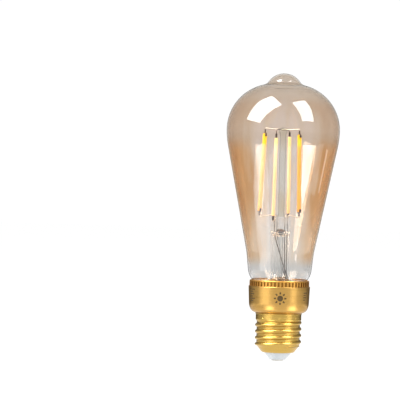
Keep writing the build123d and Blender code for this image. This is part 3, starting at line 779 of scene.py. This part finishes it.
def build_sun_mark():
    """A plain brightness symbol: a disc and short rays."""
    bm = bmesh.new()
    turns = [pi + 2 * pi * (i + 0.5) / SUN_DISC_POINTS for i in range(SUN_DISC_POINTS)]
    disc = [(SUN_DISC_RADIUS * cos(turn), SUN_DISC_RADIUS * sin(turn)) for turn in turns]
    print_patch(bm, disc, SUN_BEARING, SUN_Z)
    for i in range(SUN_RAYS):
        turn = 2 * pi * i / SUN_RAYS
        along, across = Vector((cos(turn), sin(turn))), Vector((-sin(turn), cos(turn)))
        half = across * (SUN_RAY_WIDTH / 2)
        inner, outer = along * SUN_RAY_INNER, along * SUN_RAY_OUTER
        tip = half * SUN_RAY_TAPER
        corners = [inner - half, outer - tip, outer + tip, inner + half]
        print_patch(bm, [tuple(c) for c in corners], SUN_BEARING, SUN_Z)
    lamp_piece("sun_mark", bm, "print_ink")


def build_print_blocks():
    """Plain bars of different lengths."""
    bm = bmesh.new()
    for bearing, z, rows, longest in PRINT_BLOCKS:
        for row in range(rows):
            length = longest * BAR_LENGTHS[row % len(BAR_LENGTHS)]
            low = ((rows - 1) / 2 - row) * BAR_PITCH - BAR_HEIGHT / 2
            left = -longest / 2
            steps = [left + length * i / BAR_QUADS for i in range(BAR_QUADS + 1)]
            loop = [(u, low) for u in steps] + [(u, low + BAR_HEIGHT) for u in reversed(steps)]
            print_patch(bm, loop, bearing, z)
    lamp_piece("print_bars", bm, "print_ink")


# --- Stage, light and camera ---

def build_floor():
    """A glowing white table that takes a faint shadow."""
    n = Nodes("stage_white")
    white = n.drifting(n.noise(n.place(), 900.0, 2.0), (0.995, 0.995, 0.995), (1.0, 1.0, 1.0))
    glow = n.add("Emission", {"Color": white, "Strength": FLOOR_GLOW})
    sheet = n.add("BsdfDiffuse", {"Color": (FLOOR_SHEET, FLOOR_SHEET, FLOOR_SHEET, 1.0)})
    material = n.output(n.add("AddShader", {0: glow, 1: sheet}))
    bm = bmesh.new()
    bmesh.ops.create_circle(bm, cap_ends=True, segments=FLOOR_SEGMENTS, radius=FLOOR_RADIUS)
    floor = mesh_object("studio_floor", bm, material)
    floor.visible_glossy = False


def table_glow():
    """The lit table as reflections see it: bright round the lamp, and ending in a soft uneven edge."""
    n = Nodes("table_glow")
    where = n.place()
    split = n.add("SeparateXYZ", {"Vector": where})
    wobble = n.spread(n.noise(where, 60.0, 2.0), -CARD_WOBBLE, CARD_WOBBLE)
    left, right = CARD_SIDES
    half = (right - left) / 2
    x = n.math("ADD", split.outputs["X"], wobble)
    aside = n.math("ABSOLUTE", n.math("SUBTRACT", x, (left + right) / 2))
    inside = n.ranged(aside, half - CARD_SOFT, half, 1.0, 0.0, smooth=True)
    y = n.math("ADD", split.outputs["Y"], wobble)
    before = n.ranged(y, CARD_BACK - CARD_SOFT, CARD_BACK, 1.0, 0.0, smooth=True)
    away = n.add("VectorMath", {0: where}, operation="LENGTH").outputs["Value"]
    reach = CARD_LEVELS[-1][0]
    stops = [(distance / reach, (level / CARD_PEAK,) * 3) for distance, level in CARD_LEVELS]
    glow = n.ramp(n.ranged(away, 0.0, reach), stops)
    lit = n.math("MULTIPLY", inside, before)
    return n.output(n.add("Emission", {"Color": glow, "Strength": n.math("MULTIPLY", lit, CARD_PEAK)}))


def patch_glow(name, level, points):
    """An emitter that is strongest in the patch's middle and fades unevenly towards its edges."""
    n = Nodes(name)
    middle = sum((Vector(point) for point in points), Vector((0, 0))) / len(points)
    reach = max((Vector(point) - middle).length for point in points)
    where = n.place()
    away = n.add("VectorMath", {0: where, 1: (*middle, 0.0)}, operation="DISTANCE").outputs["Value"]
    uneven = n.spread(n.noise(where, reach / 3, 2.0), 0.75, 1.1)
    start, end = (reach * share for share in PATCH_FADE)
    fade = n.ranged(away, start, end, level, level * PATCH_EDGE, smooth=True)
    strength = n.math("MULTIPLY", fade, uneven)
    return n.output(n.add("Emission", {"Color": (1.0, 1.0, 1.0, 1.0), "Strength": strength}))


def only_reflected(name, corners, z, material):
    """A flat stage card that shows in reflections and nowhere else."""
    bm = bmesh.new()
    bm.faces.new([bm.verts.new((x, y, z)) for x, y in corners])
    card = mesh_object(name, bm, material)
    for ray in ("camera", "diffuse", "transmission", "volume_scatter", "shadow"):
        setattr(card, "visible_" + ray, False)


def build_cards():
    """The table that reflections see, with its brighter patches just above it."""
    corners = [(x * CARD_HALF, y * CARD_HALF) for x, y in ((-1, -1), (1, -1), (1, 1), (-1, 1))]
    only_reflected("table_card", corners, 0.0, table_glow())
    for index, (name, (level, points)) in enumerate(PATCHES.items()):
        only_reflected(name, points, PATCH_LIFT * (index + 1), patch_glow(name, level, points))


def build_world():
    """A white room for what is seen directly and through the glass, and a dimmer one for reflections."""
    n = Nodes("studio", bpy.data.worlds)
    split = n.add("SeparateXYZ", {"Vector": n.add("TexCoord", {}).outputs["Generated"]})
    stops = [((height + 1) / 2, (level,) * 3) for height, level in ROOM_LEVELS]
    room = n.add("Background", {
        "Color": n.ramp(n.ranged(split.outputs["Z"], -1.0, 1.0), stops),
        "Strength": n.ranged(split.outputs["Y"], -1.0, 1.0, ROOM_FRONT, ROOM_BACK),
    })
    seen = n.add("Background", {"Color": (1.0, 1.0, 1.0, 1.0), "Strength": ROOM_SEEN})
    rays = n.add("LightPath", {}).outputs
    reflected = n.math("SUBTRACT", rays["Is Glossy Ray"], rays["Is Transmission Ray"])
    reflected.use_clamp = True
    mix = n.add("MixShader", {0: reflected, 1: seen, 2: room})
    bpy.context.scene.world = n.output(mix, "OutputWorld")


def add_softbox(name, bearing, elevation, roll, width, height, strength):
    """A rectangular softbox pointed at the middle of the lamp. Bearing 0 is the camera's side."""
    target = Vector((0, 0, 0.5 * TOP_Z)) * MM
    away = Vector((
        sin(radians(bearing)) * cos(radians(elevation)),
        -cos(radians(bearing)) * cos(radians(elevation)),
        sin(radians(elevation)),
    ))
    light = bpy.data.lights.new(name, "AREA")
    light.shape = "RECTANGLE"
    distance = SOFTBOX_DISTANCE * MM
    light.size, light.size_y = width * distance, height * distance
    # An area light's radiance is its power over pi times its area.
    light.energy = strength * pi * light.size * light.size_y
    box = bpy.data.objects.new(name, light)
    bpy.context.scene.collection.objects.link(box)
    level = Vector((0, 0, 1)).cross(away).normalized()
    up = away.cross(level)
    turned = Matrix.Rotation(radians(roll), 3, away) @ Matrix((level, up, away)).transposed()
    box.matrix_world = Matrix.Translation(target + away * distance) @ turned.to_4x4()


def add_camera():
    """A long lens in front of the lamp, a little to its left, rolled slightly."""
    data = bpy.data.cameras.new("camera")
    data.lens = CAMERA_LENS
    data.sensor_width = CAMERA_SENSOR
    data.clip_end = CAMERA_REACH * MM
    camera = bpy.data.objects.new("camera", data)
    bpy.context.scene.collection.objects.link(camera)
    facing = Matrix.Rotation(radians(90), 4, "X") @ Matrix.Rotation(radians(CAMERA_ROLL), 4, "Z")
    camera.matrix_world = Matrix.Translation(Vector(CAMERA_AT) * MM) @ facing
    bpy.context.scene.camera = camera


def set_look():
    """Plain colours, and enough bounces for light to get through every wall of glass."""
    scene = bpy.context.scene
    scene.view_settings.view_transform = "Standard"
    scene.view_settings.look = "None"
    cycles = scene.cycles
    cycles.max_bounces = 24
    cycles.transmission_bounces = 24
    cycles.glossy_bounces = 8
    cycles.transparent_max_bounces = 32
    cycles.use_denoising = True


for subpart in frame["record"]["subparts"]:
    node = subpart["node"]
    finish = FINISHES.get(node, subpart["material_slot"])
    frame["nodes"][node].data.materials[0] = MATERIALS[finish]

build_envelope()
for filament in FILAMENTS:
    build_filament(filament)
build_clips()
build_sun_mark()
build_print_blocks()

build_floor()
build_cards()
build_world()
for softbox, values in SOFTBOXES.items():
    add_softbox(softbox, *values)
add_camera()
set_look()
